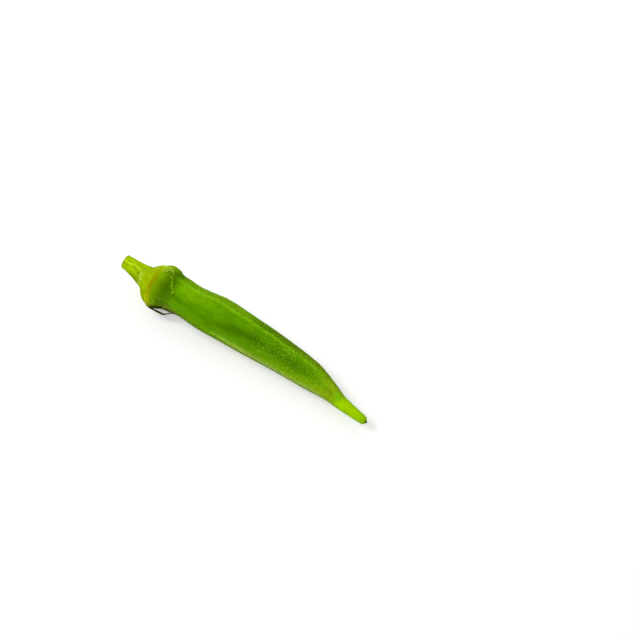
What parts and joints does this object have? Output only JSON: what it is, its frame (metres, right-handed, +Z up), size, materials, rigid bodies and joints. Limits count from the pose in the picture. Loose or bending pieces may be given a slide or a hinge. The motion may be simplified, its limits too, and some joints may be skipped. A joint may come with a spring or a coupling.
{
  "type": "okra pod",
  "caption": "Fresh green okra pod lying on its side: ridged tapering capsule with a pointed beak, a cut stalk with its cap, and slender bracts round the scar.",
  "frame": {"origin": "on the resting surface, under the middle of the bounding box", "axes": "+X along the pod from the cut stalk towards the tip, +Z up, -Y the near side that shows the broad upper face and the strap over the shoulder"},
  "size_m": [0.122, 0.0214, 0.0198],
  "materials": {
    "pod_skin": "satin green skin with pale ridges, short hairs and a lime beak",
    "stalk_skin": "ribbed yellow-green rind, pale where the skin has torn",
    "dried_style": "dull dried plant tissue",
    "bract": "hairy, half withered leaf strap"
  },
  "bodies": {
    "root": {"capsule": "pod_skin", "stalk": "stalk_skin", "style_stub": "dried_style", "bract_over_shoulder": "bract", "bract_under_shoulder": "bract", "bract_far_side": "bract"}
  },
  "joints": []
}
